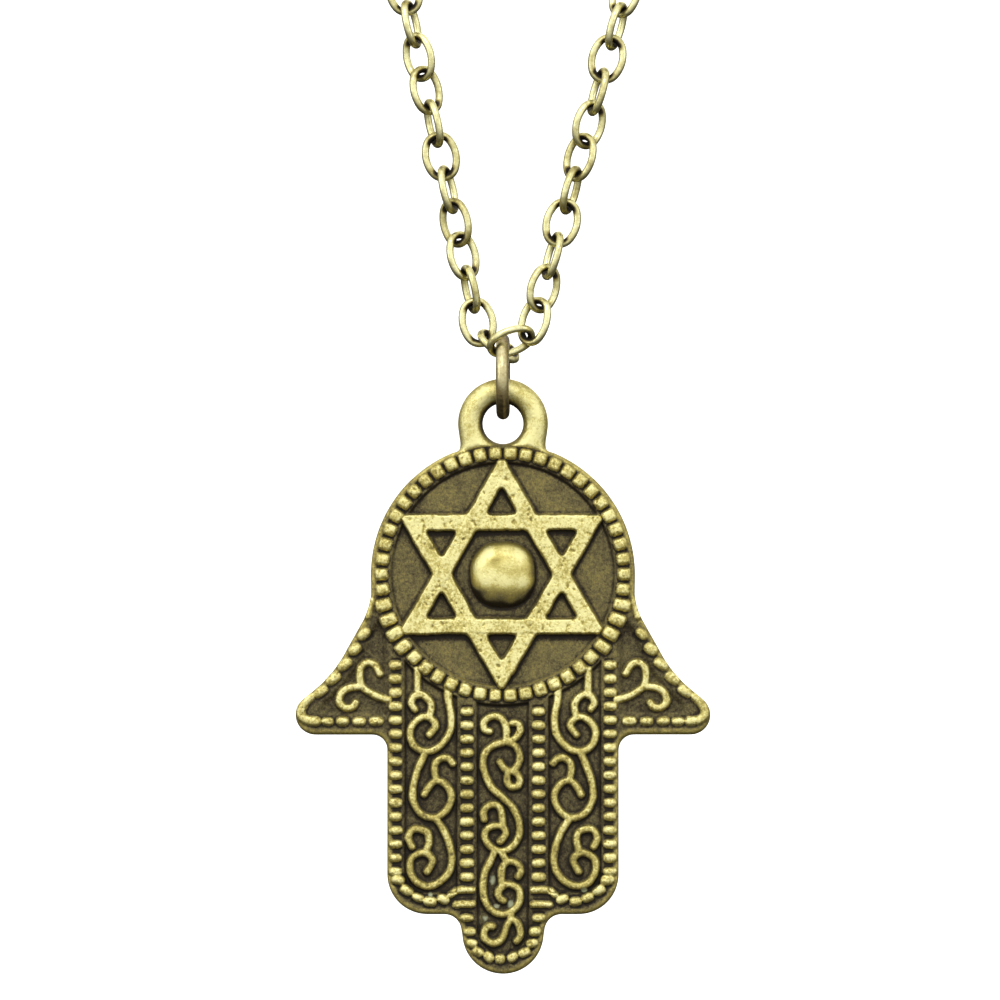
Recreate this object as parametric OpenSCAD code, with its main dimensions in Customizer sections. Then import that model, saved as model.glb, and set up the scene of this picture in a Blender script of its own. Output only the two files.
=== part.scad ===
// Hamsa hand pendant necklace. A flat cast hand carries a round medallion with a six-pointed star,
// beaded borders and scrollwork. Its eye hangs in a jump ring, and the ring in a cable chain.
// Millimetres. +Z is up, the front faces -Y, and the origin is where the neck carries the chain.

/* [Medallion] */
// Diameter of the round medallion
disc_d = 19.2; // [19:0.1:19.3]
// Depth of the medallion's centre below the middle of the eye
disc_drop = 11; // [10.9:0.1:11.1]
// Number of beads round the medallion
ring_beads = 50; // [40:2:54]
// Distance from the star's centre to its points
star_r = 8.6; // [8.5:0.02:8.66]
// Width of the star's bars
star_bar = 1.05; // [1:0.05:1.1]
// Diameter of the domed boss in the star
boss_d = 4.8; // [4:0.1:5.4]

/* [Relief] */
// Thickness of the metal under the sunken panels
floor_thick = 1.25; // [0.9:0.05:1.5]
// Height of the plain border above the panels
border_rise = 0.25; // [0.15:0.05:0.35]
// Height of the star above the panels
star_rise = 0.6; // [0.4:0.05:0.8]
// Height of the scrolls above the panels
scroll_rise = 0.38; // [0.25:0.01:0.5]
// Width of the scrolls' strokes
scroll_w = 0.48; // [0.36:0.02:0.5]
// Height of the boss above the panels
boss_rise = 1.2; // [0.8:0.05:1.5]

/* [Eye and jump ring] */
// Thickness of the round rod that forms the eye
eye_rod = 1.8; // [1.6:0.05:1.84]
// Diameter of the eye along the middle of its rod
eye_d = 4.75; // [4.7:0.05:4.8]
// Outer diameter of the jump ring
jump_d = 6.25; // [6.2:0.05:6.3]
// Thickness of the jump ring's wire
jump_wire = 0.95; // [0.8:0.05:0.95]
// Distance from the jump ring's centre down to the middle of the eye
jump_to_eye = 3.42; // [3.38:0.01:3.46]

/* [Chain] */
// Outer length of a link
link_l = 3.7; // [3.66:0.01:3.7]
// Outer width of a link
link_w = 2.75; // [2.7:0.05:2.8]
// Thickness of a link's wire
link_wire = 0.55; // [0.5:0.01:0.55]
// Distance from one link's middle to the next
pitch = 2.48; // [2.48:0.01:2.5]
// Links on each side above the one in the jump ring
links = 88; // [70:1:100]
// Turn of each link from the last about the chain
twist = 72; // [72:1:90]
// Lean of the left strand from upright
left_lean = 12.5; // [11.5:0.5:13.5]
// Lean of the right strand from upright
right_lean = 15.5; // [14.5:0.5:16.5]

/* [Clasp] */
// Outer length of the plain clasp ring
clasp_l = 9; // [8:0.5:10]
// Outer width of the plain clasp ring
clasp_w = 5.2; // [5:0.1:6]
// Thickness of the clasp ring's rod
clasp_rod = 1.2; // [1:0.1:1.3]

/* [Hidden] */
$fn = 48;
bronze = "#b3a154";
dark_bronze = "#8f7d3f";

// Layers of the pendant, from back to front, and how far a raised piece is sunk into its ground
back_y = 0.77;
floor_y = back_y - floor_thick;
border_y = floor_y - border_rise;
sink = 0.2;
eye_foot = -1.7;
star_step = 0.05;

// Outline of the hand. Places are [x, z] from the middle of the eye.
disc_c = [0, -disc_drop];
disc_turn = [68, -2];
neck_line = [[2.4, 0.4], [3.2, -0.4], [3.1, -1.6], [3.25, -2]];
waist_r = 5.2;
waist_c = [14.75, -11.9];
waist_turn = [186, 206.6];
slope_r = 9;
slope_c = [19.31, -12.47];
tip_r = 1.42;
tip_c = [13.65, -21.2];
web_r = 1.1;
palm_half = 8.4;
corner_r = 2.9;
palm_foot = -35.67;
notch_r = 1.25;
notch_play = 0.05;
finger_r = 2.95;
finger_c = [0, -37.05];

// Sunken panels and bead rows
recess_r = 8.2;
beads_r = 8.81;
band_r = 9.45;
panel_in = 3.25;
panel_out = 7.2;
panel_foot = -34.2;
panel_round = 1.4;
mid_half = 1.95;
mid_foot_c = [0, -36.7];
thumb_side = 8.35;
thumb_foot = [[thumb_side, -21.4], [13, -21.4], [13.4, -20.9], [13.2, -20.2]];
thumb_border = 0.85;
thumb_top = [9.7, -15];
thumb_band_turn = -19;
bead_cover = 0.73;
bead_long = 0.86;
bead_wide = 0.62;
bead_sink = 0.1;
palm_bead_from = -0.2;
palm_bead_to = -0.6;
palm_bead_extra = 0.3;
column_bead_long = 0.82;
column_bead_wide = 0.54;
column_pitch = 1;
tip_beads_c = [0, -36.6];
tip_beads_r = 2.35;
tip_bead_long = 0.8;
tip_bead_turn = 25;
tip_beads_each_side = 3;
outer_column = [7.8, -17.6, 16];
inner_column = [2.6, -20.98, 13];

// Beads that follow a curve or the thumb's edge: x, drop below the eye, turn of the long side, length
edge_beads = [
    [10.1, 15.3, -38, 0.9],
    [10.8, 16.45, -36, 0.9],
    [11.55, 17.55, -34, 0.95],
    [12.4, 18.55, -38, 1],
    [13.25, 19.5, -36, 1],
    [14.2, 20.5, -43, 1.2],
    [14.55, 21.2, 85, 0.7],
    [14.05, 21.65, 15, 0.9],
    [12.75, 21.75, 0, 0.9],
    [11.65, 21.75, 0, 0.9],
    [10.45, 21.75, 0, 0.9],
    [9.3, 21.75, 0, 0.95],
    [7.5, 33.35, 5, 0.86],
    [6.85, 34.05, 10, 0.86],
    [6, 34.6, 15, 0.86],
    [5.05, 34.8, 5, 0.8],
    [4.1, 34.65, 22, 0.86],
    [3.1, 34, 0, 1.7],
    [2.85, 34.95, 0, 1.2],
    [2.6, 35.9, 0, 0.8]
];

// Scrolls on the right fingers and thumb, mirrored on the left. Each is a row of [x, drop] places.
finger_scrolls = [
    [[6.2, 17.9], [6.2, 19.8]],
    [[6.4, 20.8], [6.65, 20.35], [6.4, 19.85], [5.95, 19.7], [5.45, 20.05], [5.2, 20.6], [5.35, 21.4]],
    [[4, 19.2], [3.95, 20.2], [3.75, 21.3], [3.8, 22.3], [4.25, 23.15], [5, 23.75], [5.8, 23.85],
     [6.5, 23.4], [6.75, 22.6], [6.5, 21.9], [5.9, 21.4], [5.3, 21.45], [4.9, 22], [5.35, 22.65]],
    [[5.6, 23.9], [6.1, 25], [6.5, 26.3], [6.5, 27.5], [5.9, 28.4], [5, 28.7], [4.2, 28.25],
     [3.75, 27.4], [3.85, 26.7], [4.3, 26.15], [4.85, 26], [5.35, 26.4], [5.7, 27]],
    [[3.65, 24.75], [3.95, 24.4], [4.45, 24.35], [4.9, 24.75], [4.95, 25.4], [4.8, 26]],
    [[4.9, 28.7], [4.3, 29.6], [3.85, 30.7], [3.7, 31.8], [3.95, 32.7], [4.6, 33.35], [5.4, 33.65],
     [6.2, 33.4], [6.7, 32.7], [6.7, 31.8], [6.25, 31.35], [5.6, 31.25], [5.1, 31.8], [5.5, 32.6]],
    [[6.6, 30.8], [6.85, 30.2], [6.6, 29.6], [6.1, 29.5], [5.5, 29.75], [5.35, 30.4], [5.6, 31.25]]
];
thumb_scrolls = [
    [[8.3, 20.1], [9, 19.9], [9.7, 19.55], [10.25, 19.1], [10.4, 18.4], [10.3, 17.75], [9.85, 17.4],
     [9.3, 17.6], [8.95, 18.2]],
    [[10.25, 19.15], [11, 19.2], [11.5, 19.4], [11.85, 19.85], [11.85, 20.35], [11.4, 20.7],
     [10.9, 20.6], [10.7, 20.3]]
];
middle_scrolls = [
    [[-0.95, 22.4], [-1.3, 22.3], [-1.4, 21.85], [-1.1, 21.45], [-0.5, 21.3], [0, 21.6],
     [0.25, 22.2], [0.25, 23.1]],
    [[0.7, 21.8], [1.1, 21.85], [1.25, 22.3], [1, 22.8], [0.4, 23.25]],
    [[0.25, 23.2], [-0.5, 23.35], [-1.15, 23.8], [-1.45, 24.6], [-1.3, 25.5], [-0.8, 26.5],
     [0.05, 27.25], [0.75, 28], [1.2, 29.1], [1.15, 30.1], [0.6, 30.85], [-0.1, 31.1],
     [-0.85, 30.85], [-1.3, 30.2], [-1.2, 29.6], [-0.7, 29.3], [-0.05, 29.35], [0.2, 29.85],
     [-0.2, 30.4]],
    [[0.3, 23.2], [0.9, 23.5], [1.2, 24.1], [1.15, 24.7], [0.75, 25.25], [0.2, 25.2], [-0.2, 24.65]],
    [[0.4, 25.35], [0.3, 26], [0.6, 26.45], [1.1, 26.4]],
    [[1.1, 26.4], [1.25, 25.95], [1, 25.5], [0.55, 25.3]],
    [[-1.35, 28.8], [-1.4, 28.25], [-1, 27.8], [-0.4, 27.8], [-0.1, 28.3], [0, 29.35]],
    [[-0.55, 31], [-0.9, 31.8], [-1.3, 32.6], [-1.45, 33.7], [-1.3, 34.7], [-0.8, 35.4], [0, 35.7],
     [0.75, 35.4], [1.2, 34.8], [1.2, 34], [0.75, 33.6], [0.2, 33.55], [-0.3, 34], [-0.25, 34.5],
     [0.05, 34.7]],
    [[-0.05, 33.6], [-0.1, 32.6], [0.15, 32.05], [0.6, 31.85], [1.15, 32.15], [1.3, 32.6],
     [1.1, 32.95]],
    [[-0.15, 31.1], [0.3, 31.9]],
    [[0.6, 35.6], [0.5, 36.1], [0.25, 36.6], [0.1, 37.1], [-0.15, 37.55], [-0.7, 37.8],
     [-1.25, 37.55], [-1.4, 37.1], [-1.15, 36.6], [-0.75, 36.55]],
    [[0.55, 36.05], [1, 36.25], [1.25, 36.8], [1.25, 37.3], [1, 37.65]]
];

// Ovals of round rod: end radius against half the width, the sides' thickness and run into the ends
oval_end = 0.86;
oval_side = 0.95;
oval_run_in = 0.1;

// The chain: both strands rise from a point below the jump ring to one round arc over the top.
strand_foot = -4.4;
first_link = 8.65;
left_roll = 0;
right_roll = -36;
join_gap = 0.6;
clasp_rise = -0.1;

// The feet of the strands lie behind and before the middle, so both end links fit side by side in
// the ring. Each end link: its middle from the ring's centre, its lean, its tilt and its roll.
left_depth = 1.41;
right_depth = -1.65;
left_end = [[-0.36, 1.56, 2.31], -58.5, 21.5, 64];
right_end = [[0.61, -1.33, 2.51], 71, -8, 48];
half_spread = (left_lean + right_lean) / 2;
loop_lean = (right_lean - left_lean) / 2;
link_half = (link_l - link_wire) / 2;
clasp_half = (clasp_l - clasp_rod) / 2;
clasp_join = link_half + clasp_half - (link_wire + clasp_rod) / 2 - join_gap;
clasp_roll = 90 + (left_roll - right_roll) / 2 - (links - 1) * twist;
half_path = first_link + (links - 1) * pitch + clasp_join;
arc_sweep = 90 + half_spread;
straight = half_path / (1 + tan(half_spread) * arc_sweep * PI / 180);
arc_r = straight * tan(half_spread);
up = [sin(loop_lean), cos(loop_lean)];
neck_inset = clasp_w / 2 - clasp_rise;
foot = -(straight / cos(half_spread) + arc_r - neck_inset) * up;
arc_c = foot + straight / cos(half_spread) * up;
jump_c = foot - [0, strand_foot];
eye_c = jump_c - [0, jump_to_eye];

function arc(c, r, from, to, steps) =
    [for (i = [0:steps]) let (a = from + (to - from) * i / steps) c + r * [cos(a), sin(a)]];
function mirrored(pts) = [for (i = [len(pts) - 1:-1:0]) [-pts[i][0], pts[i][1]]];
function unit(v) = v / norm(v);
function beside(v) = [-v[1], v[0]];

// The right half of the outline, from the neck of the eye down to the middle finger
half_outline = concat(
    neck_line,
    arc(disc_c, disc_d / 2, disc_turn[0], disc_turn[1], 20),
    arc(waist_c, waist_r, waist_turn[0], waist_turn[1], 4),
    arc(slope_c, slope_r, waist_turn[1], 230, 5),
    arc(tip_c, tip_r, 50, -90, 9),
    arc([palm_half + web_r, tip_c[1] - tip_r - web_r], web_r, 90, 180, 6),
    arc([palm_half - corner_r, palm_foot + corner_r], corner_r, 0, -90, 6),
    arc([finger_r + notch_play + notch_r, palm_foot - notch_r], notch_r, 90, 180, 6),
    arc(finger_c, finger_r, -2, -90, 8)
);
finger_panel = concat(
    arc(disc_c, band_r, -acos(panel_in / band_r), -acos(panel_out / band_r), 8),
    arc([panel_out - panel_round, panel_foot + panel_round], panel_round, 0, -90, 5),
    [[panel_in, panel_foot]]
);
middle_panel = concat(
    arc(disc_c, band_r, -acos(-mid_half / band_r), -acos(mid_half / band_r), 6),
    arc(mid_foot_c, mid_half, 0, -180, 12)
);
thumb_panel = concat(
    thumb_foot,
    arc(slope_c, slope_r + thumb_border, 228, 207, 5),
    [thumb_top],
    arc(disc_c, band_r, thumb_band_turn, -acos(thumb_side / band_r), 3)
);

// A smooth line through a scroll's places, and the outline of its stroke with round ends
function bend(a, b, c, d, t) =
    0.5 * (2 * b + (c - a) * t + (2 * a - 5 * b + 4 * c - d) * t * t + (3 * b - a - 3 * c + d) * t * t * t);
function smooth(p, steps) = concat(
    [for (i = [0:len(p) - 2]) for (j = [0:steps - 1])
        bend(p[max(i - 1, 0)], p[i], p[i + 1], p[min(i + 2, len(p) - 1)], j / steps)],
    [p[len(p) - 1]]
);
function heading(p, i) = unit(p[min(i + 1, len(p) - 1)] - p[max(i - 1, 0)]);
function cap(c, ahead, half) =
    [for (a = [-60:30:60]) c + half * (cos(a) * ahead + sin(a) * beside(ahead))];
function stroke_outline(p, half) = let (n = len(p) - 1) concat(
    [for (i = [0:n]) p[i] - half * beside(heading(p, i))],
    cap(p[n], heading(p, n), half),
    [for (i = [n:-1:0]) p[i] + half * beside(heading(p, i))],
    cap(p[0], -heading(p, 0), half)
);

// Flat work lies in the XZ plane between two depths, the front one first.
module slab(front, back) {
    translate([0, back, 0]) rotate([90, 0, 0]) linear_extrude(back - front) children();
}

module mirror_pair() {
    children();
    mirror([1, 0, 0]) children();
}

// A raised bar with a round top. Its long side is turned from +X towards +Z.
module bead(place, turn, long, wide, ground) {
    translate([place[0], ground, place[1]])
        rotate([0, 90 - turn, 0])
            cylinder(h = long, d = wide, center = true);
}

module medallion_beads() {
    step = 360 / ring_beads;
    wide = bead_cover * 2 * PI * beads_r / ring_beads;
    for (i = [0:ring_beads - 1]) {
        a = 90 + (i + 0.5) * step;
        extra = sin(a) < palm_bead_from && sin(a) > palm_bead_to ? palm_bead_extra : 0;
        middle = disc_c + (beads_r + extra / 2) * [cos(a), sin(a)];
        bead(middle, a, bead_long + extra, wide, border_y + bead_sink);
    }
}

module column(place, count) {
    for (i = [0:count - 1])
        bead([place[0], place[1] - i * column_pitch], 0, column_bead_long, column_bead_wide, border_y);
}

module finger_beads() {
    column(outer_column, outer_column[2]);
    column(inner_column, inner_column[2]);
    for (b = edge_beads)
        bead([b[0], -b[1]], b[2], b[3], bead_wide, border_y);
}

module tip_beads() {
    for (i = [-tip_beads_each_side:tip_beads_each_side]) {
        a = -90 + i * tip_bead_turn;
        bead(tip_beads_c + tip_beads_r * [cos(a), sin(a)], a + 90, tip_bead_long, bead_wide, border_y);
    }
}

module star_triangle(turn, rise) {
    slab(floor_y - rise, floor_y + sink)
        translate(disc_c) rotate(turn) difference() {
            circle(r = star_r, $fn = 3);
            circle(r = star_r - 2 * star_bar, $fn = 3);
        }
}

module boss() {
    ball_r = (boss_d * boss_d / 4 + boss_rise * boss_rise) / (2 * boss_rise);
    intersection() {
        translate([disc_c[0], floor_y - boss_rise + ball_r, disc_c[1]]) sphere(r = ball_r, $fn = 96);
        slab(floor_y - 2 * boss_rise, floor_y + sink) translate(disc_c) circle(d = boss_d);
    }
}

module scroll(places) {
    line = smooth([for (p = places) [p[0], -p[1]]], 3);
    slab(floor_y - scroll_rise, floor_y + sink) polygon(stroke_outline(line, scroll_w / 2));
}

// The eye's rod is flush with the border where the medallion's beads cross it.
module eye() {
    difference() {
        rotate([90, 0, 0]) rotate_extrude() translate([eye_d / 2, 0]) circle(d = eye_rod);
        translate([-eye_d, border_y - eye_rod, eye_foot - eye_d]) cube([2 * eye_d, eye_rod, eye_d]);
    }
}

module sunken() {
    slab(border_y - sink, floor_y) children();
}

module plate() {
    difference() {
        slab(border_y, back_y) polygon(concat(half_outline, mirrored(half_outline)));
        sunken() translate(disc_c) circle(r = recess_r);
        sunken() polygon(middle_panel);
        mirror_pair() sunken() polygon(finger_panel);
        mirror_pair() sunken() polygon(thumb_panel);
        slab(-eye_rod, eye_rod) circle(d = eye_d);
    }
}

module pendant() {
    color(bronze)
        translate([eye_c[0], 0, eye_c[1]]) {
            plate();
            eye();
            medallion_beads();
            mirror_pair() finger_beads();
            tip_beads();
            star_triangle(90, star_rise);
            star_triangle(270, star_rise - star_step);
            boss();
            mirror_pair() for (s = finger_scrolls) scroll(s);
            mirror_pair() for (s = thumb_scrolls) scroll(s);
            for (s = middle_scrolls) scroll(s);
        }
}

// An oval of round rod in the XY plane, long along Y: two end arcs, and two long side arcs that
// are a little thinner and run a little way into the ends
module oval_ring(long, wide, rod) {
    a = (long - rod) / 2;
    b = (wide - rod) / 2;
    end_r = oval_end * b;
    side_r = (b * b + pow(a - end_r, 2) - end_r * end_r) / (2 * (b - end_r));
    meet = atan2(a - end_r, side_r - b);
    reach = meet + oval_run_in * rod / side_r * 180 / PI;
    for (turn = [0, 180])
        rotate([0, 0, turn]) {
            translate([0, a - end_r, 0]) rod_arc(end_r, meet, 180 - 2 * meet, rod);
            translate([b - side_r, 0, 0]) rod_arc(side_r, -reach, 2 * reach, oval_side * rod);
        }
}

module rod_arc(r, from, sweep, rod) {
    rotate([0, 0, from]) rotate_extrude(angle = sweep) translate([r, 0]) circle(d = rod, $fn = 16);
}

// Puts an oval in the chain: long along a direction that leans from +Z towards +X, rolled about it
module along(place, depth, lean, roll) {
    translate([place[0], depth, place[1]])
        rotate([0, lean, 0]) rotate([0, 0, roll]) rotate([90, 0, 0]) children();
}

// Direction and place at a distance along a strand, measured from the foot. Side is -1 left, 1 right.
function strand_lean(side) = side < 0 ? left_lean : right_lean;
function lean_at(s, side) = side * (strand_lean(side) - max(0, s - straight) / arc_r * 180 / PI);
function place_at(s, side) = s < straight
    ? foot + s * [side * sin(strand_lean(side)), cos(strand_lean(side))]
    : arc_c + arc_r * side * [cos(lean_at(s, side)), -sin(lean_at(s, side))];
function depth_at(s, side) = (side < 0 ? left_depth : right_depth) * (1 - s / half_path);

module strand(side, first_roll) {
    for (i = [0:links - 1]) {
        s = first_link + i * pitch;
        along(place_at(s, side), depth_at(s, side), lean_at(s, side), first_roll + side * i * twist) link();
    }
}

module link() {
    oval_ring(link_l, link_w, link_wire);
}

// The link that hooks in the jump ring: its place from the ring's centre, its lean, tilt and roll
module end_link(pose) {
    translate([jump_c[0], 0, jump_c[1]] + pose[0])
        rotate([pose[2], pose[1], 0]) rotate([0, 0, pose[3]]) rotate([90, 0, 0]) link();
}

module chain_left() {
    color(bronze) {
        strand(-1, left_roll);
        end_link(left_end);
    }
}

module chain_right() {
    color(bronze) {
        strand(1, right_roll);
        end_link(right_end);
    }
}

module jump_ring() {
    color(dark_bronze)
        translate([jump_c[0], 0, jump_c[1]])
            rotate([0, 90, 0])
                rotate_extrude() translate([(jump_d - jump_wire) / 2, 0]) circle(d = jump_wire);
}

module clasp() {
    color(dark_bronze)
        along(arc_c + (arc_r + clasp_rise) * up, 0, 90 + loop_lean, clasp_roll)
            oval_ring(clasp_l, clasp_w, clasp_rod);
}

pendant();
jump_ring();
chain_left();
chain_right();
clasp();
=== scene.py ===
"""Hamsa hand pendant necklace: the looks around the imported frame.

Shapes are worked out in millimetres and become metres when a mesh is made. The pendant is laid out in
[x, z] places from the middle of its eye, with heights towards the viewer, who looks along +Y.
"""

import math

import bpy
import numpy as np
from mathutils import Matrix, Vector
from mathutils.geometry import delaunay_2d_cdt


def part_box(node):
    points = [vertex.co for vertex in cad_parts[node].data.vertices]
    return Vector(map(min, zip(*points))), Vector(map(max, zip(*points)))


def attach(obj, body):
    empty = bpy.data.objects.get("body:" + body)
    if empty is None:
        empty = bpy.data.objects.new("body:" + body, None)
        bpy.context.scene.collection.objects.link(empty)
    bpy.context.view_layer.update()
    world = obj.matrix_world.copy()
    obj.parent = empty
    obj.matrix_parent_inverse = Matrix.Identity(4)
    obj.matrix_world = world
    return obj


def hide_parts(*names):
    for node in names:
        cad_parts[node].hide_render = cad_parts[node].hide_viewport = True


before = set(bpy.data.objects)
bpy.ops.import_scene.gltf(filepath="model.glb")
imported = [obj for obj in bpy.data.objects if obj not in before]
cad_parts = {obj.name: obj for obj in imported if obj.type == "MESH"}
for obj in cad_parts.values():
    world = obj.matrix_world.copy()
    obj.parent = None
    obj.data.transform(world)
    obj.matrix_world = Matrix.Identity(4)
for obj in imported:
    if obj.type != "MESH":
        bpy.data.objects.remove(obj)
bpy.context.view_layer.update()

MM = 0.001


def middle(node):
    """Middle of a node's box, in millimetres."""
    low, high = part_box(node)
    return [(low[i] + high[i]) / 2 / MM for i in range(3)]


JUMP = middle("jump_ring")
EYE_BELOW_JUMP = 3.42
EYE_X, EYE_Z = JUMP[0], JUMP[2] - EYE_BELOW_JUMP

# Camera
PX, PICTURE = 0.07273, 1000      # millimetres of one pixel of the picture, and its width in pixels
AIM = (JUMP[0] - 0.218, 0.0, JUMP[2] - 8.982)    # what lies at the picture's middle
CAMERA_TURN, CAMERA_LIFT = math.radians(1.2), math.radians(-2.5)
CAMERA_AWAY = 900.0
SENSOR = 36.0

back = np.array([math.sin(CAMERA_TURN) * math.cos(CAMERA_LIFT),
                 -math.cos(CAMERA_TURN) * math.cos(CAMERA_LIFT),
                 math.sin(CAMERA_LIFT)])
cam_data = bpy.data.cameras.new("camera")
cam_data.sensor_width = SENSOR
cam_data.lens = SENSOR * CAMERA_AWAY / (PICTURE * PX)
cam_data.clip_start, cam_data.clip_end = 0.05, 30.0
camera = bpy.data.objects.new("camera", cam_data)
bpy.context.scene.collection.objects.link(camera)
camera.location = Vector((np.array(AIM) + back * CAMERA_AWAY) * MM)
camera.rotation_mode = "QUATERNION"
camera.rotation_quaternion = Vector(-back).to_track_quat("-Z", "Y")
bpy.context.scene.camera = camera

# The pendant's plan
DISC = (0.0, -11.0)
DISC_R, RECESS_R, BAND_R = 9.6, 8.2, 9.45
SLOPE, SLOPE_R = (19.31, -12.47), 9.0
TIP, TIP_R = (13.65, -21.2), 1.42
MIDDLE_TIP, MIDDLE_TIP_R = (0.0, -37.05), 2.95
EYE_R, ROD = 2.375, 0.9          # the loop of the eye: to the rod's middle, and the rod's own radius
HOLE_R = EYE_R - ROD
FLOOR, BORDER, BACK = 0.48, 0.73, 0.77    # heights of the floors, of the border and, behind, of the back


def arc(c, r, start, end, steps):
    """Points along an arc, with its angles in degrees from +X."""
    turns = np.radians(np.linspace(start, end, steps + 1))
    return [(c[0] + r * math.cos(t), c[1] + r * math.sin(t)) for t in turns]


def drop_angle(x):
    """Angle of the place on the medallion's band that lies at x, on its lower side."""
    return -math.degrees(math.acos(x / BAND_R))


half_outline = (
    arc((0, 0), EYE_R + ROD, 90, -10, 26)
    + [(3.17, -0.95), (3.11, -1.3), (3.1, -1.6), (3.15, -1.88), (3.34, -2.06)]
    + arc(DISC, DISC_R, 67.5, -2, 40)
    + arc((14.75, -11.9), 5.2, 186, 206.6, 6)
    + arc(SLOPE, SLOPE_R - 0.1, 206.6, 230, 10)
    + arc(TIP, TIP_R, 50, -90, 16)
    + arc((9.5, -23.72), 1.1, 90, 180, 10)
    + arc((5.5, -32.77), 2.9, 0, -90, 16)
    + arc((4.25, -36.92), 1.25, 90, 180, 12)
    + arc(MIDDLE_TIP, MIDDLE_TIP_R, -2, -90, 16)
)


def mirrored(points):
    """The points on the other side of the middle line, in the opposite order."""
    return [(-x, z) for x, z in reversed(points)]


outline = np.array(half_outline + mirrored(half_outline)[1:-1])
finger_panel = (
    arc(DISC, BAND_R, drop_angle(3.25), drop_angle(7.2), 12)
    + arc((5.8, -32.8), 1.4, 0, -90, 8) + [(3.25, -34.2)]
)
middle_panel = (
    arc(DISC, BAND_R, drop_angle(-1.95), drop_angle(1.95), 12)
    + arc((0, -36.7), 1.95, 0, -180, 16)
)
thumb_panel = (
    [(8.35, -21.4), (13, -21.4), (13.4, -20.9), (13.2, -20.2)]
    + arc(SLOPE, SLOPE_R + 0.85, 228, 207, 8) + [(9.7, -15)]
    + arc(DISC, BAND_R, -19, drop_angle(8.35), 5)
)

# Beads on both sides: x, drop below the eye's middle, turn of the long side from +X, length, width
edge_beads = [
    (10.1, 15.34, -42, 1.1, 0.84), (10.76, 16.45, -38, 1.15, 0.86), (11.5, 17.53, -34, 1.25, 0.88),
    (12.34, 18.56, -36, 1.3, 0.9), (13.25, 19.5, -36, 1.25, 0.86),
    (12.73, 21.69, 0, 0.96, 0.72), (11.65, 21.67, 2, 1.0, 0.76), (10.44, 21.69, 0, 1.04, 0.74),
    (9.2, 21.66, 0, 1.1, 0.78),
    (7.6, 33.2, 14, 1.08, 0.84), (6.98, 33.95, 26, 1.08, 0.84), (6.15, 34.48, 24, 0.98, 0.74),
    (5.28, 34.76, 5, 1.0, 0.78), (4.32, 34.6, 26, 0.98, 0.78), (2.62, 35.95, 0, 1.04, 0.7),
]
tip_beads = [
    (-2.42, 36.94, -4, 0.98, 0.76), (-2.26, 37.8, -12, 0.94, 0.74), (-1.8, 38.42, -30, 0.98, 0.78),
    (-1.02, 38.8, -50, 0.9, 0.8), (-0.2, 38.93, 80, 0.8, 0.84), (0.7, 38.79, 48, 0.92, 0.78),
    (1.56, 38.46, 28, 1.0, 0.78), (2.13, 37.8, 12, 0.98, 0.74), (2.35, 36.94, 6, 0.98, 0.76),
]
# Ridges on both sides: the hooks of the thumbs' tips, the long bars at the fingers' ends, the shoulders
ridges = [
    ([(14.0, 19.92), (14.42, 20.35), (14.68, 20.9), (14.6, 21.35), (14.15, 21.62), (13.55, 21.68)], 0.37),
    ([(2.2, 33.93), (3.15, 33.93), (3.5, 34.03), (3.78, 34.28)], 0.29),
    ([(2.2, 34.95), (2.8, 34.95), (3.4, 35.0)], 0.29),
    ([(9.5, 12.85), (9.62, 13.3), (9.85, 14.1)], 0.24),
]
finger_scrolls = [
    [(6.2, 17.9), (6.2, 19.8)],
    [(6.4, 20.8), (6.65, 20.35), (6.4, 19.85), (5.95, 19.7), (5.45, 20.05), (5.2, 20.6), (5.35, 21.4)],
    [(4, 19.2), (3.95, 20.2), (3.75, 21.3), (3.8, 22.3), (4.25, 23.15), (5, 23.75), (5.8, 23.85),
     (6.5, 23.4), (6.75, 22.6), (6.5, 21.9), (5.9, 21.4), (5.3, 21.45), (4.9, 22), (5.35, 22.65)],
    [(5.6, 23.9), (6.1, 25), (6.5, 26.3), (6.5, 27.5), (5.9, 28.4), (5, 28.7), (4.2, 28.25),
     (3.75, 27.4), (3.85, 26.7), (4.3, 26.15), (4.85, 26), (5.35, 26.4), (5.7, 27)],
    [(3.65, 24.75), (3.95, 24.4), (4.45, 24.35), (4.9, 24.75), (4.95, 25.4), (4.8, 26)],
    [(4.9, 28.7), (4.3, 29.6), (3.85, 30.7), (3.7, 31.8), (3.95, 32.7), (4.6, 33.35), (5.4, 33.65),
     (6.2, 33.4), (6.7, 32.7), (6.7, 31.8), (6.25, 31.35), (5.6, 31.25), (5.1, 31.8), (5.5, 32.6)],
    [(6.6, 30.8), (6.85, 30.2), (6.6, 29.6), (6.1, 29.5), (5.5, 29.75), (5.35, 30.4), (5.6, 31.25)],
]
thumb_scrolls = [
    [(8.3, 20.1), (9, 19.9), (9.7, 19.55), (10.25, 19.1), (10.4, 18.4), (10.3, 17.75), (9.85, 17.4),
     (9.3, 17.6), (8.95, 18.2)],
    [(10.25, 19.15), (11, 19.2), (11.5, 19.4), (11.85, 19.85), (11.85, 20.35), (11.4, 20.7),
     (10.9, 20.6), (10.7, 20.3)],
]
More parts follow.
